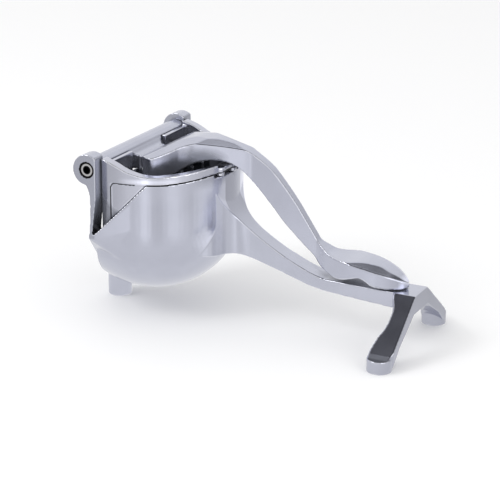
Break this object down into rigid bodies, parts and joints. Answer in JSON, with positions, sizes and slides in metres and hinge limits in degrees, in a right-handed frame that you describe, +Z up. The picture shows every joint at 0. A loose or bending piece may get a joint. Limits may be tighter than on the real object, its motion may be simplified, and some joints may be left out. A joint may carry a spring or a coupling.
{
  "type": "juice press",
  "caption": "Hand lever juice press: cast bowl with a spout and forked stand, lift-out strainer cup and hinged press lever.",
  "frame": {"origin": "on the table plane, under the middle of the press's overall box", "axes": "+X from the spout to the grip and stand, +Y along the hinge axis, +Z up"},
  "size_m": [0.22, 0.125, 0.1164],
  "materials": {
    "body_aluminium": "satin, blasted and polished",
    "cup_aluminium": "satin with a polished rim",
    "lever_aluminium": "satin, blasted and polished",
    "screw_steel": "stainless"
  },
  "bodies": {
    "base": {"press_body": "body_aluminium", "strainer_cup": "cup_aluminium"},
    "lever": {"press_lever": "lever_aluminium", "pivot_screw_near": "screw_steel", "pivot_screw_far": "screw_steel"}
  },
  "joints": [
    {"name": "lever_hinge", "type": "hinge", "parent": "base", "child": "lever", "pos_m": [-0.0881, 0, 0.1025], "axis": [0, -1, 0], "range_deg": [0, 110]}
  ]
}
